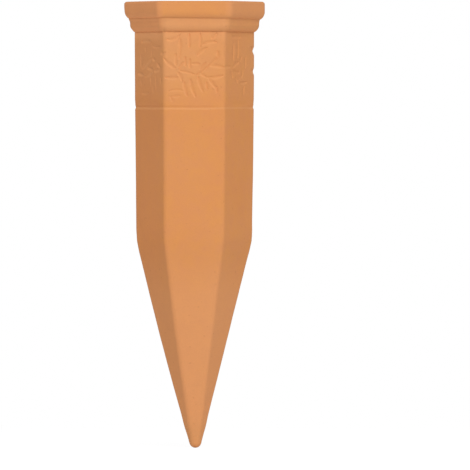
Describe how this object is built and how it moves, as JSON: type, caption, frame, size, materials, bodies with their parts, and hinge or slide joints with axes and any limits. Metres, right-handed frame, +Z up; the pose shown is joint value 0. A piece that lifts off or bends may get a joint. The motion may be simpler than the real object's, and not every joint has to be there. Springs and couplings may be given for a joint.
{
  "type": "self watering spike",
  "caption": "Hexagonal terracotta plant watering spike: a rolled rim and leaf band over a shaft tapering to a round tip, open at the top for a bottle neck.",
  "frame": {"origin": "lowest point of the tip, on the spike's axis, where the soil holds it", "axes": "+Z up the axis and out of the mouth; two opposite corners of the hexagon lie on the X axis; one flat face looks along -Y"},
  "size_m": [0.0544, 0.0482, 0.172],
  "materials": {
    "terracotta": "matte"
  },
  "bodies": {
    "root": {"top_rim": "terracotta", "lower_rim": "terracotta", "leaf_band": "terracotta", "spike_body": "terracotta"}
  },
  "joints": []
}
